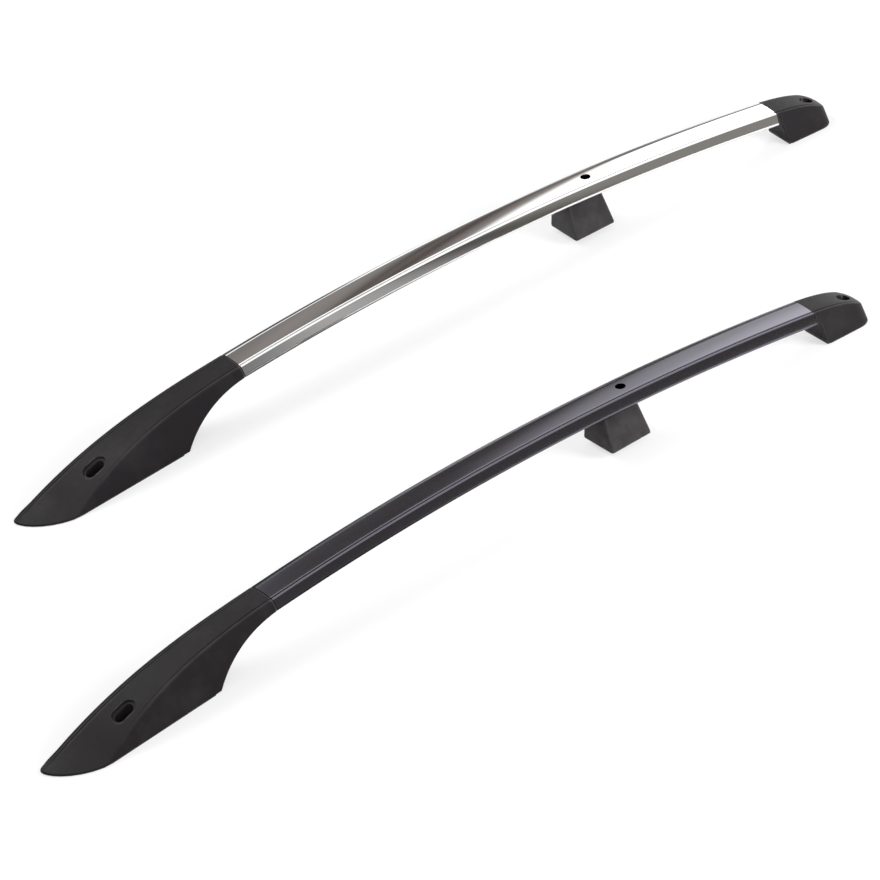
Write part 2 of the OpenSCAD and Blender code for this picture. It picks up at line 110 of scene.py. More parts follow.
def makeLengthwiseStreaks():
    # Fine drawn lines that run along an extrusion, with slow changes of gloss between them
    group = newGroup("lengthwiseStreaks", ["Height", "Gloss"])
    place = addNode(group, "ShaderNodeTexCoord")
    stretch = addNode(group, "ShaderNodeMapping", Scale=(0.4, 260, 260))
    lines = addNode(group, "ShaderNodeTexNoise", Scale=6.0, Detail=3.0, Roughness=0.6)
    slow = addNode(group, "ShaderNodeMapping", Scale=(5, 30, 30))
    patches = addNode(group, "ShaderNodeTexNoise", Scale=1.0, Detail=2.0, Roughness=0.5)
    out = addNode(group, "NodeGroupOutput")
    for mapping, texture in ((stretch, lines), (slow, patches)):
        group.links.new(place.outputs["Object"], mapping.inputs["Vector"])
        group.links.new(mapping.outputs["Vector"], texture.inputs["Vector"])
    group.links.new(lines.outputs["Fac"], out.inputs["Height"])
    group.links.new(patches.outputs["Fac"], out.inputs["Gloss"])
    return group


def makeMouldGrain():
    # Spark-eroded grain of a moulded plastic surface
    group = newGroup("mouldGrain", ["Height", "Fleck"])
    place = addNode(group, "ShaderNodeTexCoord")
    fine = addNode(group, "ShaderNodeTexNoise", Scale=900.0, Detail=3.0, Roughness=0.7)
    coarse = addNode(group, "ShaderNodeTexNoise", Scale=320.0, Detail=2.0, Roughness=0.6)
    out = addNode(group, "NodeGroupOutput")
    for texture in (fine, coarse):
        group.links.new(place.outputs["Object"], texture.inputs["Vector"])
    height = addMath(group, "ADD", fine.outputs["Fac"], coarse.outputs["Fac"])
    group.links.new(height, out.inputs["Height"])
    group.links.new(coarse.outputs["Fac"], out.inputs["Fleck"])
    return group


def makeEdgeWear():
    # Sharp creases are painted paler, unevenly along their length, partly as rubbed wear and partly as a
    # painted highlight of their rounded edges, and dust lies in patches
    group = newGroup("edgeWear", ["Wear"])
    surface = addNode(group, "ShaderNodeNewGeometry")
    place = addNode(group, "ShaderNodeTexCoord")
    uneven = addNode(group, "ShaderNodeTexNoise", Scale=60.0, Detail=3.0, Roughness=0.6)
    smudge = addNode(group, "ShaderNodeTexNoise", Scale=14.0, Detail=4.0, Roughness=0.65)
    out = addNode(group, "NodeGroupOutput")
    for texture in (uneven, smudge):
        group.links.new(place.outputs["Object"], texture.inputs["Vector"])
    sharp = addMapRange(group, surface.outputs["Pointiness"], wearAndHighlight["creaseFrom"], wearAndHighlight["creaseTo"], 0, 1)
    dust = addMapRange(group, smudge.outputs["Fac"], wearAndHighlight["dustFrom"], wearAndHighlight["dustTo"], 0, wearAndHighlight["dustShade"])
    rubbedAndHighlit = addMath(group, "MULTIPLY", sharp, uneven.outputs["Fac"])
    group.links.new(addMath(group, "ADD", rubbedAndHighlit, dust), out.inputs["Wear"])
    return group


streakGroup = makeLengthwiseStreaks()
wearAndHighlightGroup = makeEdgeWear()
grainGroup = makeMouldGrain()


def useGroup(tree, group):
    node = tree.nodes.new("ShaderNodeGroup")
    node.node_tree = group
    return node


def remap(tree, source, low, high):
    return addMapRange(tree, source, *noiseRange, low, high)


def addChoice(tree, factor, first, second):
    # The first colour where the factor is 0, the second where it is 1; each is a colour or a socket
    choose = addNode(tree, "ShaderNodeMix", data_type="RGBA")
    tree.links.new(factor, choose.inputs["Factor"])
    for socket, value in ((choose.inputs[6], first), (choose.inputs[7], second)):
        if isinstance(value, tuple):
            socket.default_value = value
        else:
            tree.links.new(value, socket)
    return choose.outputs[2]


def newMaterial(name, metallic, roughness):
    material = bpy.data.materials.new(name)
    material.use_nodes = True
    tree = material.node_tree
    shader = tree.nodes["Principled BSDF"]
    shader.inputs["Base Color"].default_value = colours[name]
    shader.inputs["Metallic"].default_value = metallic
    shader.inputs["Roughness"].default_value = roughness
    return material, tree, shader


def addBump(tree, shader, height, strength, distance):
    bump = addNode(tree, "ShaderNodeBump", Strength=strength, Distance=distance)
    tree.links.new(height, bump.inputs["Height"])
    tree.links.new(bump.outputs["Normal"], shader.inputs["Normal"])


def makeTubeMaterial(name, gloss, bump):
    material, tree, shader = newMaterial(name, 1.0, gloss[0])
    streaks = useGroup(tree, streakGroup)
    tree.links.new(remap(tree, streaks.outputs["Gloss"], *gloss), shader.inputs["Roughness"])
    addBump(tree, shader, streaks.outputs["Height"], bump, drawnDepth)
    return material


def makePlasticMaterial(name, gloss, bump):
    material, tree, shader = newMaterial(name, 0.0, gloss[0])
    shader.inputs["Specular IOR Level"].default_value = plasticSpecular
    grain = useGroup(tree, grainGroup)
    rubAndHighlight = useGroup(tree, wearAndHighlightGroup)
    # Paler colour along creases: rubbed wear and a painted highlight
    wornAndHighlit = addChoice(tree, rubAndHighlight.outputs["Wear"], colours[name], colours["wornAndHighlitPlastic"])
    tree.links.new(wornAndHighlit, shader.inputs["Base Color"])
    tree.links.new(remap(tree, grain.outputs["Fleck"], *gloss), shader.inputs["Roughness"])
    addBump(tree, shader, grain.outputs["Height"], bump, grainDepth)
    return material


materials = {
    "silver_tube": makeTubeMaterial("silverTube", gloss=(0.04, 0.08), bump=0.08),
    "black_tube": makeTubeMaterial("blackTube", gloss=(0.17, 0.21), bump=0.03),
    "foot_plastic": makePlasticMaterial("footPlastic", gloss=(0.42, 0.56), bump=0.35),
    "gasket_rubber": makePlasticMaterial("gasketRubber", gloss=(0.6, 0.75), bump=0.2),
    "steel": makeTubeMaterial("steel", gloss=(0.25, 0.35), bump=0.3),
}

for part in frame["record"]["subparts"]:
    mesh = frame["nodes"][part["node"]].data
    mesh.materials.clear()
    mesh.materials.append(materials[part["material_slot"]])
print("materials made")


# What the rails and the feet share: the arch, the section and the bolts, in millimetres

rail = {
    "length": 1500,
    "archRadius": 4530,
    "creaseHeight": 101,
    "apex": 20,
    "lean": math.radians(11),
    "topWidth": 44,
    "topRise": 1.5,
    "crown": 0.8,
    "shoulderWidth": 10.5,
    "shoulderHeight": 8,
    "sideFlare": 6,
    "sideTuck": 1.5,
    "depth": 19,
    "edgeRadius": 3.5,
    "grooveStart": 3.4,
    "grooveWall": 5.7,
    "grooveEnd": 8.8,
    "grooveDepth": 1.9,
    "farRoundWidth": 4.5,
    "farRoundDrop": 0.35,
    "creaseRadius": 3,
    "sideBulge": 0.25,
    "wall": 2,
    "lengthSteps": 160,
    # Half width of the section beyond the top face
    "sideReach": 8,
    "seamBevel": 0.9,
    "seamGap": 1.1,
    "seamDepth": 1.5,
    # Share of the gap that the spigot's root fills
    "spigotShare": 0.96,
    # Distance from a seam over which the sections of a foot come upright
    "uprightRun": 40,
    "soleEdge": 1.2,
    "accessHole": 16,
    "accessFrom": 82,
    "accessTo": 110,
}

frontBolt = (-612, 1.3)
middleBolt = (320, 23)
rearBolt = (728, 9)
gasketThickness = 1.5
silverPlace = {"x": 327.3, "y": 523.3, "turn": math.radians(-2.81)}
tipX = -rail["length"] / 2

# Heights between which the wells and the recesses round them are cut
wells = {"floor": 3, "top": 100, "recessTop": 101}

# A round hole is cut as a slot longer than its width by this much
slotSpare = 0.001

# Edges that turn by more degrees than this are shaded sharp
sharpAngle = 32


def mix(a, b, t):
    return a + (b - a) * t


def clamp(value, low, high):
    return min(high, max(low, value))


def archPoint(turn, across, up):
    leanSin, leanCos = math.sin(rail["lean"]), math.cos(rail["lean"])
    radius = rail["archRadius"] + across * leanSin + up * leanCos
    side = across * leanCos - up * leanSin
    rise = radius * math.cos(turn) - rail["archRadius"]
    return (
        rail["apex"] + radius * math.sin(turn),
        rise * leanSin + side * leanCos,
        rail["creaseHeight"] + rise * leanCos - side * leanSin,
    )


def bezier(start, control, end, steps):
    # Points after the start of a curve with one control point
    points = []
    for step in range(1, steps + 1):
        t = step / steps
        points.append(tuple(mix(mix(a, b, t), mix(b, c, t), t) for a, b, c in zip(start, control, end)))
    return points


def bandLoop(wide, rise, bulge, shoulder, fall, tuck, flare, deep, radius, slit, farSlit=None):
    # Outline from the near lower edge over the top face to the far lower edge
    def topHeight(x):
        t = clamp(x / wide, 0, 1) if wide > 0 else 0
        return rise * t + bulge * 4 * t * (1 - t)

    farWidth, farDepth = farSlit or (rail["farRoundWidth"], 0)
    shrink = clamp(wide / rail["topWidth"], 0.001, 1)
    points = []
    for step in range(9):
        a = math.radians(90 * step / 8)
        points.append((-flare + radius - radius * math.sin(a), -deep + radius - radius * math.cos(a)))
    sideLow = -deep + radius
    crease = min(rail["creaseRadius"], deep * 0.2)
    swell = rail["sideBulge"] * min(1, deep / rail["depth"])
    for share in (0.15, 0.32, 0.5, 0.68, 0.85, 1):
        up = mix(sideLow, -crease, share)
        points.append((-flare * up / sideLow - swell * 4 * share * (1 - share), up))
    creaseEnd = crease * shrink
    points += bezier(points[-1], (0, 0), (creaseEnd, topHeight(creaseEnd)), 5)
    # A slot whose upper wall faces the near side, with a slope that rounds into the top face
    first, wall, last = (rail[key] * shrink for key in ("grooveStart", "grooveWall", "grooveEnd"))
    for x, share in ((first, 0.2), (mix(first, wall, 0.12), 0.9), (mix(first, wall, 0.85), 1)):
        points.append((x, topHeight(x) - slit * share))
    for step in range(9):
        x = mix(wall, last, step / 8)
        points.append((x, topHeight(x) - slit * 0.38 * (1 - step / 8) ** 3))
    farStart = wide - farWidth * shrink
    for step in range(1, 16):
        x = mix(last, farStart, step / 16)
        points.append((x, topHeight(x)))
    # Either a shallow groove along the far crease or a rounding of it
    sunk = 0 if farSlit else rail["farRoundDrop"] * shrink
    for step in range(7):
        t = step / 6
        x = mix(farStart, wide, t)
        groove = farDepth * 0.5 * (1 - math.cos(math.tau * t))
        points.append((x, topHeight(x) - groove - sunk * t ** 2))
    bandEnd = (wide + shoulder * 0.55, rise - fall * 0.19 - sunk)
    for t in (0.3, 0.65, 1):
        points.append((mix(wide, bandEnd[0], t), mix(rise - sunk, bandEnd[1], t)))
    points += bezier(bandEnd, (wide + shoulder, rise - fall * 0.36), (wide + shoulder, rise - fall), 8)
    far = wide + shoulder - tuck
    for step in range(8, -1, -1):
        a = math.radians(90 * step / 8)
        points.append((far - radius + radius * math.sin(a), -deep + radius - radius * math.cos(a)))
    return points


def railLoop():
    return bandLoop(
        rail["topWidth"], rail["topRise"], rail["crown"], rail["shoulderWidth"], rail["shoulderHeight"],
        rail["sideTuck"], rail["sideFlare"], rail["depth"], rail["edgeRadius"], rail["grooveDepth"],
    )


def hollowLoop():
    # Inside of the extrusion
    wall = rail["wall"]
    drop = 1.4 * wall
    inner = bandLoop(
        rail["topWidth"] - 1.2 * wall, rail["topRise"], rail["crown"], rail["shoulderWidth"] - 0.8 * wall,
        rail["shoulderHeight"] - wall / 2, rail["sideTuck"], rail["sideFlare"] * 0.7,
        rail["depth"] - drop - wall, rail["edgeRadius"] / 2, 0, (1, 0),
    )
    return [(x + wall, y - drop) for x, y in inner]


def shrunk(points, amount):
    # The same outline drawn in a little, for a bevel at a seam
    middle = (rail["topWidth"] / 2, -rail["depth"] / 2)
    half = (rail["topWidth"] / 2 + rail["sideReach"], rail["depth"] / 2)
    return [
        (x - amount * (x - middle[0]) / half[0], y - amount * (y - middle[1]) / half[1]) for x, y in points
    ]


def placed(side, point):
    # From a rail's own frame in millimetres to the shared frame in metres
    x, y, z = point
    if side == "silver":
        c, s = math.cos(silverPlace["turn"]), math.sin(silverPlace["turn"])
        x, y = silverPlace["x"] + c * x - s * y, silverPlace["y"] + s * x + c * y
    return Vector((x - frontBolt[0], y - frontBolt[1], z)) * metresPerMm


def meshObject(name, bm, material):
    mesh = bpy.data.meshes.new(name)
    bm.to_mesh(mesh)
    bm.free()
    mesh.materials.append(material)
    obj = bpy.data.objects.new(name, mesh)
    bpy.context.scene.collection.objects.link(obj)
    return obj


def addSkin(bm, side, loops):
    # Closed skin over loops of equal length
    rings = [[bm.verts.new(placed(side, point)) for point in loop] for loop in loops]
    size = len(rings[0])
    faces = [bm.faces.new(rings[0]), bm.faces.new(rings[-1])]
    for ring, following in zip(rings, rings[1:]):
        for j in range(size):
            k = (j + 1) % size
            faces.append(bm.faces.new((ring[j], ring[k], following[k], following[j])))
    bmesh.ops.recalc_face_normals(bm, faces=faces)
    return faces


def skinMesh(name, side, loops, material, hollow=()):
    bm = bmesh.new()
    addSkin(bm, side, loops)
    if hollow:
        bmesh.ops.reverse_faces(bm, faces=addSkin(bm, side, hollow))
    return meshObject(name, bm, material)


def shadeByAngle(obj, degrees):
    mesh = obj.data
    bm = bmesh.new()
    bm.from_mesh(mesh)
    limit = math.radians(degrees)
    for face in bm.faces:
        face.smooth = True
    for edge in bm.edges:
        edge.smooth = len(edge.link_faces) == 2 and edge.calc_face_angle(0) < limit
    bm.to_mesh(mesh)
    bm.free()


def stadiumCutter(side, centre, length, width, low, high):
    # Upright cutter with round ends, for a well or a recess; low is a height or a function of x and y
    steps = 24
    reach = (length - width) / 2
    outline = []
    for end, start in ((1, -90), (-1, 90)):
        for step in range(steps + 1):
            a = math.radians(start + 180 * step / steps)
            x = centre[0] + end * reach + width / 2 * math.cos(a)
            outline.append((x, centre[1] + width / 2 * math.sin(a)))
    loops = [[(x, y, low(x, y) if callable(low) else low) for x, y in outline]]
    loops.append([(x, y, high) for x, y in outline])
    return skinMesh("cutter", side, loops, materials["foot_plastic"])


def roundCutter(side, centre, width, low, high):
    return stadiumCutter(side, centre, width + slotSpare, width, low, high)


def applyModifiers(obj):
    bpy.context.view_layer.update()
    graph = bpy.context.evaluated_depsgraph_get()
    mesh = bpy.data.meshes.new_from_object(obj.evaluated_get(graph))
    obj.modifiers.clear()
    obj.data = mesh


def cutAway(obj, cutters):
    for cutter in cutters:
        change = obj.modifiers.new("cut", "BOOLEAN")
        change.operation = "DIFFERENCE"
        change.solver = "EXACT"
        change.object = cutter
    applyModifiers(obj)
    for cutter in cutters:
        bpy.data.objects.remove(cutter)


def spigotLoops(turn, way):
    # Root of a foot's spigot, which shows as a dark line in the gap before the rail
    gapTurn = way * rail["seamGap"] / rail["archRadius"]
    root = shrunk(railLoop(), rail["seamDepth"])
    turns = (turn, turn + rail["spigotShare"] * gapTurn)
    return [[archPoint(place, x, y) for x, y in root] for place in turns]


# Front foot

frontFoot = {
    "length": 409,
    "sole": 288,
    "cheek": 78,
    "tipY": 23.6,
    "tipThickness": 4,
    "heelY": -19.5,
    "cheekY": -38.5,
    "heelRadius": 189,
    "spread": 3,
    "softening": 2.4,
    "tipShare": 0.06,
    "farStop": 6,
    "farGrooveWidth": 3.4,
    "farGrooveDepth": 1.3,
    # Distances from the seam at which the far groove is fully deep and the near one has run out
    "farGrooveRise": 12,
    "grooveRun": 300,
    "wellLength": 32,
    "wellWidth": 16,
    "recessStep": 4,
    "recessDepth": 3.5,
}

frontSeamX = tipX + frontFoot["length"]
heelX = tipX + frontFoot["sole"]
frontTurn = math.asin((frontSeamX - rail["apex"]) / rail["archRadius"])
frontSeam = archPoint(frontTurn, 0, 0)
frontFarSeam = archPoint(frontTurn, rail["topWidth"], rail["topRise"])
frontNearBottom = archPoint(frontTurn, -rail["sideFlare"], -rail["depth"])
heelTop = archPoint(frontTurn, 0, -rail["depth"])
frontSlope = -math.tan(frontTurn)
cheekRun = frontFoot["length"] - frontFoot["cheek"]
farRun = frontFoot["length"] - frontFoot["farStop"]


def circleCentre(ax, az, bx, bz, radius):
    halfX, halfZ = (bx - ax) / 2, (bz - az) / 2
    reach = math.hypot(halfX, halfZ)
    drop = math.sqrt(radius ** 2 - reach ** 2) / reach
    return ax + halfX + halfZ * drop, az + halfZ - halfX * drop


heelAxis = circleCentre(heelX, gasketThickness, heelTop[0], heelTop[2], frontFoot["heelRadius"])


def falling(top, d, run, power):
    # Height of a crease, which flattens out softly where it comes down to the tip's thickness
    tip = frontFoot["tipThickness"]
    over = top - frontSlope * d - (top - frontSlope * run - tip) * (d / run) ** power - tip
    return tip + (over + math.hypot(over, frontFoot["softening"])) / 2


def soleNearY(x):
    cheekX = tipX + frontFoot["cheek"]
    if x > cheekX:
        return mix(frontFoot["heelY"], frontFoot["cheekY"], (heelX - x) / (heelX - cheekX))
    t = clamp((cheekX - x) / frontFoot["cheek"], 0, 1)
    return frontFoot["tipY"] + (frontFoot["cheekY"] - frontFoot["tipY"]) * (1 - t ** 1.7) ** 0.62


def narrowing(d):
    share = frontFoot["tipShare"]
    t = clamp((d / frontFoot["length"] - 1 + share) / share, 0, 1)
    return math.sqrt(1 - t * t)


def frontFloor(x):
    across = frontFoot["heelRadius"] ** 2 - (x - heelAxis[0]) ** 2
    if x <= heelX or across <= 0:
        return gasketThickness
    return max(gasketThickness, heelAxis[1] + math.sqrt(across))


def frontCreases(x):
    # Near and far crease of the top face, each as y and z
    d = max(0, frontSeamX - x)
    if d < cheekRun:
        nearY = mix(frontSeam[1], frontFoot["cheekY"] + 1, (d / cheekRun) ** 1.6)
    else:
        nearY = soleNearY(x) + 1
    farY = mix(frontFarSeam[1], frontFoot["tipY"], (d / frontFoot["length"]) ** 2)
    return nearY, falling(frontSeam[2], d, cheekRun, 3), farY, falling(frontFarSeam[2], d, farRun, 2.8)


def recessFloor(x, y):
    nearY, nearZ, farY, farZ = frontCreases(x)
    t = (y - nearY) / (farY - nearY)
    return mix(nearZ, farZ, t) + rail["crown"] * 4 * t * (1 - t) - frontFoot["recessDepth"]


def frontLoop(x):
    d = max(0, frontSeamX - x)
    floor = frontFloor(x)
    share = clamp((floor - gasketThickness) / (heelTop[2] - gasketThickness), 0, 1)
    nearY, nearZ, farY, farZ = frontCreases(x)
    edgeY = mix(soleNearY(x), frontNearBottom[1], share)
    deep = nearZ - floor
    farGrooveDepth = frontFoot["farGrooveDepth"] * clamp(d / frontFoot["farGrooveRise"], 0.3, 1)
    points = bandLoop(
        farY - nearY, farZ - nearZ, rail["crown"], rail["shoulderWidth"] * narrowing(d),
        min(rail["shoulderHeight"], (farZ - floor) / 2),
        mix(-frontFoot["spread"] * narrowing(d), rail["sideTuck"], share), nearY - edgeY, deep,
        min(mix(rail["soleEdge"], rail["edgeRadius"], share), deep * 0.3),
        rail["grooveDepth"] * clamp(1 - d / frontFoot["grooveRun"], 0.02, 1),
        (frontFoot["farGrooveWidth"], farGrooveDepth),
    )
    turned = math.sin(frontTurn) * clamp(1 - d / rail["uprightRun"], 0, 1)
    leanSin, leanCos = math.sin(rail["lean"]), math.cos(rail["lean"])
    return [(x + turned * (px * leanSin + py * leanCos), nearY + px, nearZ + py) for px, py in points]


def buildFrontFoot(side):
    stations = []
    soleSteps, heelSteps = 90, 60
    for step in range(soleSteps):
        t = (step + 0.4) / soleSteps
        stations.append(tipX + frontFoot["sole"] * t ** 1.5)
    for step in range(heelSteps):
        t = (step + 0.2) / heelSteps
        stations.append(heelX + (frontSeamX - heelX) * t ** 1.4)
    loops = [frontLoop(x) for x in stations]
    outline = railLoop()
    bevel = rail["seamBevel"]
    loops.append([archPoint(frontTurn - bevel / rail["archRadius"], x, y) for x, y in outline])
    loops.append([archPoint(frontTurn, x, y) for x, y in shrunk(outline, bevel)])
    loops += spigotLoops(frontTurn, 1)
    obj = skinMesh(side + "_front_foot_skin", side, loops, materials["foot_plastic"])
    length, width = frontFoot["wellLength"], frontFoot["wellWidth"]
    wider = 2 * frontFoot["recessStep"]
    cutAway(obj, [
        stadiumCutter(side, frontBolt, length, width, wells["floor"], wells["top"]),
        stadiumCutter(side, frontBolt, length + wider, width + wider, recessFloor, wells["recessTop"]),
    ])
    shadeByAngle(obj, sharpAngle)
    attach(obj, "root")
    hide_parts(side + "_front_foot")


# Rear foot

rearFoot = {
    "length": 89,
    "toe": 12,
    "lip": 0.5,
    "turnDown": 2.2,
    "nearY": -23,
    "fall": 14,
    "round": 20,
    "draw": 14,
    "drop": 4,
    "swing": 6,
    "tuck": 8,
    "recessHeight": 29,
    "recessStep": 2.4,
    # Degrees of the end's rounding that are built, just short of the upright end face
    "endTurn": 88,
}

rearSeamX = rail["length"] / 2 - rearFoot["length"]
rearTurn = math.asin((rearSeamX - rail["apex"]) / rail["archRadius"])
rearSeam = archPoint(rearTurn, 0, 0)
rearFarSeam = archPoint(rearTurn, rail["topWidth"], rail["topRise"])
rearBottom = archPoint(rearTurn, -rail["sideFlare"], -rail["depth"])
rearSlope = math.tan(rearTurn)


def rearLoop(e):
    length, toe, lip = rearFoot["length"], rearFoot["toe"], rearFoot["lip"]
    t = clamp((e - length + rearFoot["round"]) / rearFoot["round"], 0, 1)
    keep = 1 - math.sqrt(1 - t * t)
    floor = gasketThickness
    if e < toe:
        floor = mix(rearBottom[2], gasketThickness, (max(0, e - lip) / (toe - lip)) ** rearFoot["turnDown"])
    share = (rearBottom[2] - floor) / (rearBottom[2] - gasketThickness)
    nearY = rearSeam[1] - rearFoot["swing"] * (e / length) ** 1.3 + keep * rearFoot["draw"]
    nearZ = rearSeam[2] - rearSlope * e - rearFoot["fall"] * (e / length) ** 3 - keep * rearFoot["drop"]
    farY = rearFarSeam[1] - rearFoot["swing"] * e / length - keep * rearFoot["draw"]
    soleY = mix(rearFoot["nearY"] + 3, rearFoot["nearY"] - 2, e / length) + keep * rearFoot["draw"]
    edgeY = mix(rearBottom[1], soleY, share)
    points = bandLoop(
        farY - nearY, rail["topRise"], rail["crown"], rail["shoulderWidth"], rail["shoulderHeight"],
        mix(rail["sideTuck"], rearFoot["tuck"], share), nearY - edgeY, nearZ - floor,
        mix(rail["edgeRadius"], rail["soleEdge"], share), rail["grooveDepth"] * (1 - 0.9 * e / length),
    )
    turned = math.sin(rearTurn) * clamp(1 - e / rail["uprightRun"], 0, 1)
    leanSin, leanCos = math.sin(rail["lean"]), math.cos(rail["lean"])
    return [
        (rearSeamX + e + turned * (px * leanSin + py * leanCos), nearY + px, nearZ + py) for px, py in points
    ]


def buildRearFoot(side):
    length, toe, lip = rearFoot["length"], rearFoot["toe"], rearFoot["lip"]
    outline = railLoop()
    bevel = rail["seamBevel"]
    loops = spigotLoops(rearTurn, -1)[::-1] + [
        [archPoint(rearTurn, x, y) for x, y in shrunk(outline, bevel)],
        [archPoint(rearTurn + bevel / rail["archRadius"], x, y) for x, y in outline],
    ]
    toeSteps, topSteps, endSteps = 14, 30, 24
    places = [mix(lip, toe, step / toeSteps) for step in range(1, toeSteps + 1)]
    endStart = length - rearFoot["round"]
    places += [mix(toe, endStart, step / topSteps) for step in range(1, topSteps)]
    for step in range(endSteps + 1):
        a = math.radians(rearFoot["endTurn"] * step / endSteps)
        places.append(endStart + rearFoot["round"] * math.sin(a))
    loops += [rearLoop(e) for e in places]
    obj = skinMesh(side + "_rear_foot_skin", side, loops, materials["foot_plastic"])
    width = frontFoot["wellWidth"]
    recess = width + 2 * rearFoot["recessStep"]
    cutAway(obj, [
        roundCutter(side, rearBolt, width, wells["floor"], wells["top"]),
        roundCutter(side, rearBolt, recess, rearFoot["recessHeight"], wells["recessTop"]),
    ])
    shadeByAngle(obj, sharpAngle)
    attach(obj, "root")
    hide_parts(side + "_rear_foot")


# Middle foot

middleFoot = {
    "middle": 305.5,
    "length": 75,
    "width": 73,
    "nearY": -4,
    "base": 10,
    "nearLean": math.radians(16),
    "farLean": math.radians(10),
    "endLean": math.radians(6),
    "cornerRadius": 5,
    "footEdge": 1.2,
    "padGap": 1.5,
    "softEdge": 0.8,
    "sleeveRadius": 6.8,
    "holeFrom": 5,
    "holeTo": 110,
    "sharpAngle": 40,
}


def middleLoop(z, inset):
    # Rounded rectangle of the foot at a height, drawn in by an inset
    up = z - middleFoot["base"]
    reach = middleFoot["length"] / 2 - up * math.tan(middleFoot["endLean"]) - inset
    lowY = middleFoot["nearY"] + up * math.tan(middleFoot["nearLean"]) + inset
    highY = middleFoot["nearY"] + middleFoot["width"] - up * math.tan(middleFoot["farLean"]) - inset
    radius = middleFoot["cornerRadius"]
    points = []
    for quarter, (turnX, turnY) in enumerate(((1, 1), (1, -1), (-1, -1), (-1, 1))):
        centreX = middleFoot["middle"] + turnX * (reach - radius)
        centreY = highY - radius if turnY > 0 else lowY + radius
        for step in range(9):
            a = math.radians(90 * quarter + 90 * step / 8)
            points.append((centreX + radius * math.sin(a), centreY + radius * math.cos(a), z))
    return points


def underRailCutter(side):
    # All that lies over the rubber pad, along the arch
    near, far, high = -60, 120, 60
    low = -rail["depth"] - middleFoot["padGap"]
    box = [(near, high), (far, high), (far, low), (near, low)]
    loops = []
    for step in range(17):
        x = middleFoot["middle"] + middleFoot["length"] * mix(-0.8, 0.8, step / 16)
        turn = math.asin((x - rail["apex"]) / rail["archRadius"])
        loops.append([archPoint(turn, across, up) for across, up in box])
    return skinMesh("cutter", side, loops, materials["foot_plastic"])


def buildMiddleFoot(side):
    bottom = middleFoot["base"] + gasketThickness
    edge = middleFoot["footEdge"]
    loops = []
    for a in (0, 0.5, 1.05, 1.57):
        loops.append(middleLoop(bottom + edge * (1 - math.cos(a)), edge * (1 - math.sin(a))))
    loops.append(middleLoop(rail["creaseHeight"], 0))
    obj = skinMesh(side + "_middle_foot_skin", side, loops, materials["foot_plastic"])
    width = 2 * middleFoot["sleeveRadius"]
    cutAway(obj, [
        underRailCutter(side),
        roundCutter(side, middleBolt, width, middleFoot["holeFrom"], middleFoot["holeTo"]),
    ])
    soften = obj.modifiers.new("soften", "BEVEL")
    soften.width = middleFoot["softEdge"] * metresPerMm
    soften.segments = 3
    soften.limit_method = "ANGLE"
    soften.angle_limit = math.radians(middleFoot["sharpAngle"])
    applyModifiers(obj)
    shadeByAngle(obj, middleFoot["sharpAngle"])
    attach(obj, "root")
    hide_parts(side + "_middle_foot")


# Rail, between the seams of the feet

def buildRail(side):
    steps = rail["lengthSteps"]
    outline = railLoop()
    gapTurn = rail["seamGap"] / rail["archRadius"]
    turns = [mix(frontTurn + gapTurn, rearTurn - gapTurn, step / steps) for step in range(steps + 1)]
    loops = [[archPoint(turn, x, y) for x, y in outline] for turn in turns]
    inside = hollowLoop()
    hollowTurns = [mix(frontTurn, rearTurn, (step + 0.5) / steps) for step in range(0, steps, 4)]
    hollow = [[archPoint(turn, x, y) for x, y in inside] for turn in hollowTurns]
    obj = skinMesh(side + "_rail_skin", side, loops, materials[side + "_tube"], hollow)
    hole = roundCutter(side, middleBolt, rail["accessHole"], rail["accessFrom"], rail["accessTo"])
    cutAway(obj, [hole])
    shadeByAngle(obj, sharpAngle)
    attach(obj, "root")
    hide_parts(side + "_rail")


for side in ("black", "silver"):
    buildRail(side)
    buildFrontFoot(side)
    buildRearFoot(side)
    buildMiddleFoot(side)
    print(side, "rail and feet built")


# Floor, world, lamps and camera

stage = {
    "floorSize": 14,
    "floorCentre": (0.7, 0.3, -0.0002),
    # Share of white that the camera sees over the floor's own shade
    "floorWhite": 0.55,
    # Painted reflection: a shade the floor takes only where polished metal mirrors it, from the front of the
    # rails to their rear
    "paintedFloorReflection": [(0.0, (0.12, 0.12, 0.12)), (0.46, (0.12, 0.12, 0.12)), (0.55, (0.95, 0.95, 0.95))],
    # How far the painted reflection shades slant across the floor, and their scale and shift along it
    "floorSlant": -0.41,
    "floorScale": 0.5,
    "floorShift": 0.1,
    # The same painted reflection, dark, on the camera's side of the object
    "paintedNearReflection": (0.22, 0.21, 0.20, 1),
    "nearFloorY": -0.35,
}

# Polished metal mirrors the key lamp alone
lamps = {
    "key": {
        "location": (-0.4, 2.6, 3.0), "target": (0.8, 0.3, 0),
        "size": 2.2, "power": 78, "mirrored": True,
    },
    "fill": {
        "location": (-1.5, -3.0, 2.2), "target": (0.8, 0.3, 0),
        "size": 2.0, "power": 46, "mirrored": False,
    },
    "side": {
        "location": (2.6, -2.4, 1.3), "target": (1.4, 0.2, 0),
        "size": 1.4, "power": 130, "mirrored": False,
    },
}

camera = {
    "location": (-3.686, -7.3043, 5.6853),
    "heading": math.radians(-30.4),
    "tilt": math.radians(57),
    "roll": math.radians(-11.65),
    "lens": 286.4,
    "sensor": 36,
    "clipStart": 0.1,
    "clipEnd": 60,
}


def addRamp(tree, source, bands):
    ramp = addNode(tree, "ShaderNodeValToRGB")
    while len(ramp.color_ramp.elements) < len(bands):
        ramp.color_ramp.elements.new(0.5)
    for element, (position, colour) in zip(ramp.color_ramp.elements, bands):
        element.position = position
        element.color = (*colour, 1)
    tree.links.new(source, ramp.inputs["Fac"])
    return ramp.outputs["Color"]


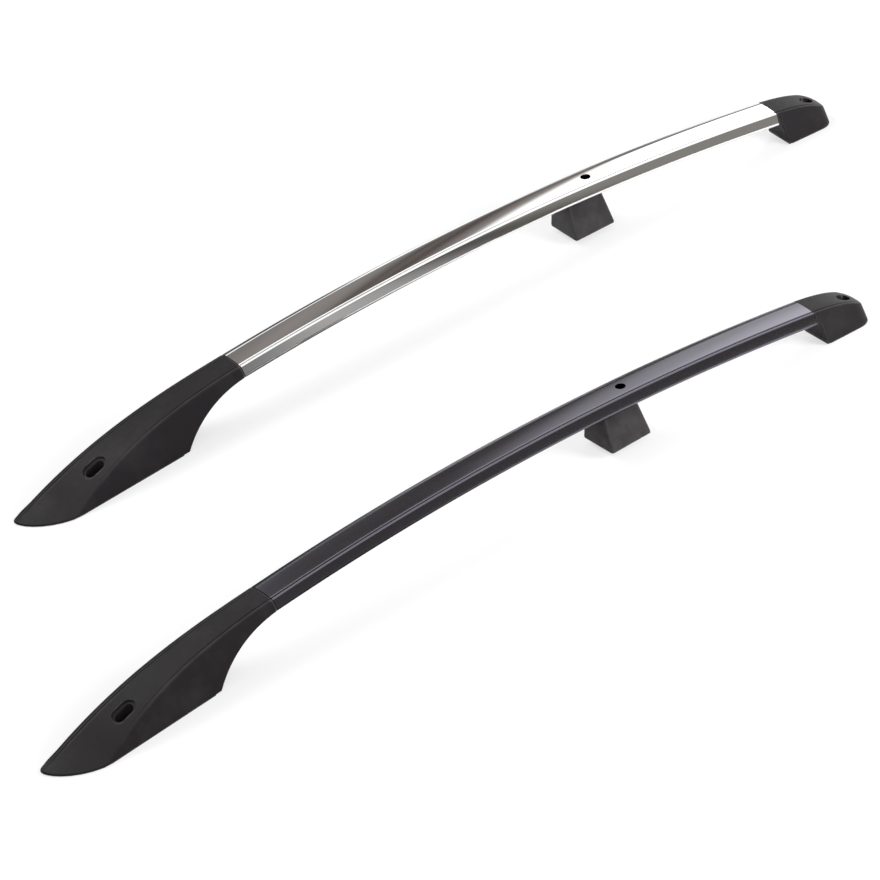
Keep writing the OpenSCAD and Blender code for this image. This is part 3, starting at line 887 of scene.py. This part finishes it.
def buildFloor():
    bm = bmesh.new()
    bmesh.ops.create_grid(bm, x_segments=1, y_segments=1, size=stage["floorSize"] / 2)
    bmesh.ops.translate(bm, verts=bm.verts, vec=stage["floorCentre"])
    material = bpy.data.materials.new("floor")
    material.use_nodes = True
    tree = material.node_tree
    tree.nodes.clear()
    matt = addNode(tree, "ShaderNodeBsdfDiffuse")
    white = addNode(tree, "ShaderNodeEmission", Color=(1, 1, 1, 1), Strength=1.0)
    path = addNode(tree, "ShaderNodeLightPath")
    both = addNode(tree, "ShaderNodeMixShader")
    out = addNode(tree, "ShaderNodeOutputMaterial")
    place = addNode(tree, "ShaderNodeTexCoord")
    parts = addNode(tree, "ShaderNodeSeparateXYZ")
    tree.links.new(place.outputs["Object"], parts.inputs[0])
    # For glossy rays the floor takes painted reflection shades, dark in bands, while the camera sees it
    # evenly bright
    slant = addMath(tree, "MULTIPLY_ADD", parts.outputs["Y"], stage["floorSlant"], parts.outputs["X"])
    along = addMath(tree, "MULTIPLY_ADD", slant, stage["floorScale"], stage["floorShift"])
    near = addMath(tree, "LESS_THAN", parts.outputs["Y"], stage["nearFloorY"])
    mirrored = addChoice(tree, near, addRamp(tree, along, stage["paintedFloorReflection"]), stage["paintedNearReflection"])
    colour = addChoice(tree, path.outputs["Is Glossy Ray"], colours["floor"], mirrored)
    share = addMath(tree, "MULTIPLY", path.outputs["Is Camera Ray"], stage["floorWhite"])
    tree.links.new(colour, matt.inputs["Color"])
    tree.links.new(share, both.inputs["Fac"])
    tree.links.new(matt.outputs[0], both.inputs[1])
    tree.links.new(white.outputs[0], both.inputs[2])
    tree.links.new(both.outputs[0], out.inputs["Surface"])
    floor = meshObject("floor", bm, material)


studio = {
    # What lights the object evenly; the bands below are only mirrored
    "plainLight": (0.55, 0.55, 0.56, 1),
    # Behind the object, from the front of the rails toward their rear and up
    "heightShare": 0.36,
    "farSide": [
        (0.0, (0.12, 0.12, 0.12)), (0.447, (0.12, 0.12, 0.12)),
        (0.455, (1.3, 1.3, 1.3)), (0.495, (1.2, 1.2, 1.2)),
        (0.515, (0.20, 0.185, 0.175)), (0.57, (0.30, 0.275, 0.26)),
        (0.60, (0.26, 0.24, 0.225)), (0.618, (0.09, 0.077, 0.072)), (0.628, (0.17, 0.15, 0.14)),
        (0.642, (0.08, 0.066, 0.062)), (0.660, (0.22, 0.195, 0.18)), (0.675, (0.30, 0.28, 0.27)),
        (0.687, (1.3, 1.3, 1.3)), (0.72, (1.8, 1.8, 1.8)), (0.735, (1.0, 1.0, 1.0)), (0.75, (2.2, 2.2, 2.2)),
        (0.80, (3.2, 3.2, 3.2)), (1.0, (3.2, 3.2, 3.2)),
    ],
    # A strip of light overhead, which draws the bright lines along the creases
    "overheadUp": 0.66,
    "overheadBehind": 0.35,
    "overhead": (1.35, 1.35, 1.35, 1),
    # Behind the camera, from the front of the rails to their rear
    "nearFrom": -0.2,
    "nearHeightShare": 0.05,
    "nearSide": [
        (0.0, (0.2, 0.2, 0.2)), (0.305, (0.2, 0.2, 0.2)),
        (0.33, (0.5, 0.49, 0.48)), (0.35, (0.4, 0.39, 0.38)),
        (0.368, (0.12, 0.11, 0.105)), (0.38, (0.06, 0.055, 0.05)), (0.392, (0.18, 0.17, 0.155)),
        (0.41, (0.27, 0.26, 0.24)), (1.0, (0.25, 0.24, 0.22)),
    ],
}


def addBands(tree, parts, name, heightShare):
    # Bands that run from the front of the rails to their rear, slanted by a share of the height
    along = addMath(tree, "MULTIPLY_ADD", parts.outputs["Z"], studio[heightShare], parts.outputs["X"])
    return addRamp(tree, along, studio[name])


def buildWorld():
    # Even light, and for polished metal alone a studio with light bands behind the object and overhead
    world = bpy.data.worlds.new("studio")
    bpy.context.scene.world = world
    world.use_nodes = True
    tree = world.node_tree
    tree.nodes.clear()
    place = addNode(tree, "ShaderNodeTexCoord")
    parts = addNode(tree, "ShaderNodeSeparateXYZ")
    tree.links.new(place.outputs["Generated"], parts.inputs[0])
    farSide = addBands(tree, parts, "farSide", "heightShare")
    nearSide = addBands(tree, parts, "nearSide", "nearHeightShare")
    near = addMath(tree, "LESS_THAN", parts.outputs["Y"], studio["nearFrom"])
    room = addChoice(tree, near, farSide, nearSide)
    high = addMath(tree, "GREATER_THAN", parts.outputs["Z"], studio["overheadUp"])
    central = addMath(tree, "LESS_THAN", parts.outputs["Y"], studio["overheadBehind"])
    lit = addChoice(tree, addMath(tree, "MULTIPLY", high, central), room, studio["overhead"])
    path = addNode(tree, "ShaderNodeLightPath")
    mirrored = addChoice(tree, path.outputs["Is Glossy Ray"], studio["plainLight"], lit)
    shown = addChoice(tree, path.outputs["Is Camera Ray"], mirrored, (1, 1, 1, 1))
    background = addNode(tree, "ShaderNodeBackground", Strength=1.0)
    out = addNode(tree, "ShaderNodeOutputWorld")
    tree.links.new(shown, background.inputs["Color"])
    tree.links.new(background.outputs[0], out.inputs["Surface"])


def addLamp(name, location, target, size, power, mirrored):
    lamp = bpy.data.lights.new(name, "AREA")
    lamp.shape = "SQUARE"
    lamp.size = size
    lamp.energy = power
    obj = bpy.data.objects.new(name, lamp)
    obj.location = location
    obj.visible_glossy = mirrored
    obj.rotation_euler = (Vector(target) - Vector(location)).to_track_quat("-Z", "Y").to_euler()
    bpy.context.scene.collection.objects.link(obj)


def buildCamera():
    data = bpy.data.cameras.new("camera")
    data.lens = camera["lens"]
    data.sensor_width = camera["sensor"]
    data.clip_start = camera["clipStart"]
    data.clip_end = camera["clipEnd"]
    obj = bpy.data.objects.new("camera", data)
    turn = Matrix.Rotation(camera["heading"], 4, "Z") @ Matrix.Rotation(camera["tilt"], 4, "X")
    turn = turn @ Matrix.Rotation(camera["roll"], 4, "Z")
    obj.matrix_world = Matrix.Translation(camera["location"]) @ turn
    bpy.context.scene.collection.objects.link(obj)
    bpy.context.scene.camera = obj


buildFloor()
buildWorld()
for name, values in lamps.items():
    addLamp(name, **values)
buildCamera()
bpy.context.scene.view_settings.view_transform = "Standard"
print("stage built")
